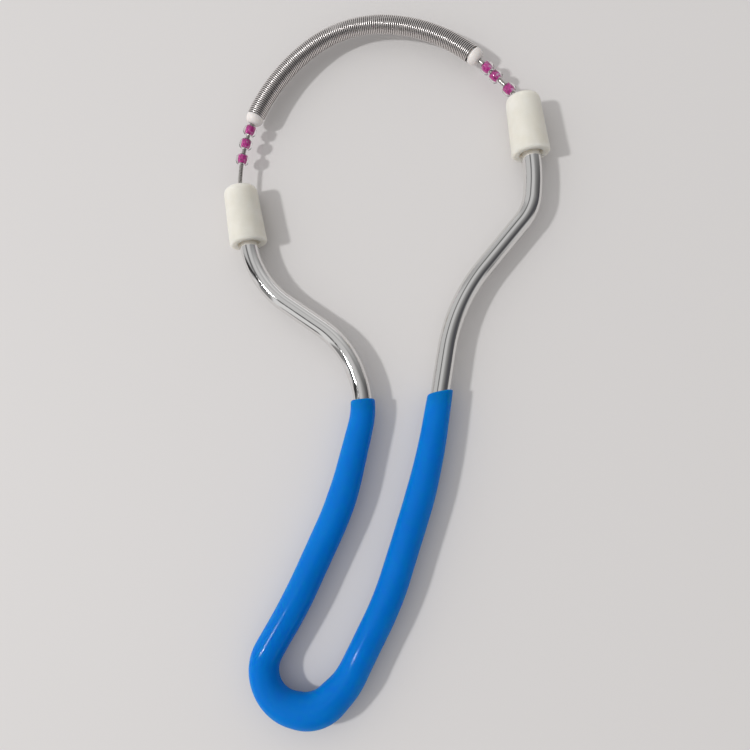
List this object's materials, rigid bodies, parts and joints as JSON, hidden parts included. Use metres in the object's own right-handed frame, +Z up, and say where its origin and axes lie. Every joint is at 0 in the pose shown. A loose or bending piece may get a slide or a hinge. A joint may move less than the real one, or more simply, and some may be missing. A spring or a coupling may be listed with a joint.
{
  "type": "facial hair removal spring",
  "caption": "Bent-bar hair removal tool with a bowed close-wound coil spring, loose glass beads, two free rollers and a vinyl-sleeved squeeze handle.",
  "frame": {"origin": "centre of the tool's bounding box, on the surface that it lies on", "axes": "+Y along the tool from the grip's bend to the bow of the spring, +X to the right seen from above, +Z up from the surface"},
  "size_m": [0.1036, 0.2302, 0.0124],
  "materials": {
    "polished_bar": "polished",
    "drawn_wire": "drawn",
    "spring_steel": "bright",
    "blue_vinyl": "glossy dipped vinyl",
    "ivory_plastic": "satin",
    "cap_plastic": "satin",
    "lined_glass": "clear glass, bore lined magenta"
  },
  "bodies": {
    "tool_frame": {"frame_bar": "polished_bar", "grip_sleeve": "blue_vinyl", "core_wire": "drawn_wire", "coil_spring": "spring_steel", "left_spring_cap": "cap_plastic", "right_spring_cap": "cap_plastic"},
    "left_roller": {"left_roller": "ivory_plastic"},
    "right_roller": {"right_roller": "ivory_plastic"},
    "left_bead_3": {"left_bead_3": "lined_glass"},
    "left_bead_2": {"left_bead_2": "lined_glass"},
    "left_bead_1": {"left_bead_1": "lined_glass"},
    "right_bead_3": {"right_bead_3": "lined_glass"},
    "right_bead_2": {"right_bead_2": "lined_glass"},
    "right_bead_1": {"right_bead_1": "lined_glass"}
  },
  "joints": [
    {"name": "left_roller_spin", "type": "hinge", "parent": "tool_frame", "child": "left_roller", "pos_m": [-0.04072, 0.03079, 0.0062], "axis": [-0.3338, 0.9426, 0], "continuous": true},
    {"name": "right_roller_spin", "type": "hinge", "parent": "tool_frame", "child": "right_roller", "pos_m": [0.04612, 0.07154, 0.0062], "axis": [-0.2756, 0.9613, 0], "continuous": true},
    {"name": "left_bead_3_spin", "type": "hinge", "parent": "tool_frame", "child": "left_bead_3", "pos_m": [-0.0484, 0.05949, 0.0062], "axis": [0.0207, -0.9998, 0], "continuous": true},
    {"name": "left_bead_2_spin", "type": "hinge", "parent": "tool_frame", "child": "left_bead_2", "pos_m": [-0.04825, 0.06499, 0.0062], "axis": [-0.0735, -0.9973, 0], "continuous": true},
    {"name": "left_bead_1_spin", "type": "hinge", "parent": "tool_frame", "child": "left_bead_1", "pos_m": [-0.04769, 0.06985, 0.0062], "axis": [-0.1568, -0.9876, 0], "continuous": true},
    {"name": "right_bead_3_spin", "type": "hinge", "parent": "tool_frame", "child": "right_bead_3", "pos_m": [0.03617, 0.09283, 0.0062], "axis": [0.7763, -0.6303, 0], "continuous": true},
    {"name": "right_bead_2_spin", "type": "hinge", "parent": "tool_frame", "child": "right_bead_2", "pos_m": [0.03124, 0.09691, 0.0062], "axis": [0.7655, -0.6434, 0], "continuous": true},
    {"name": "right_bead_1_spin", "type": "hinge", "parent": "tool_frame", "child": "right_bead_1", "pos_m": [0.02811, 0.09956, 0.0062], "axis": [0.7585, -0.6517, 0], "continuous": true}
  ]
}
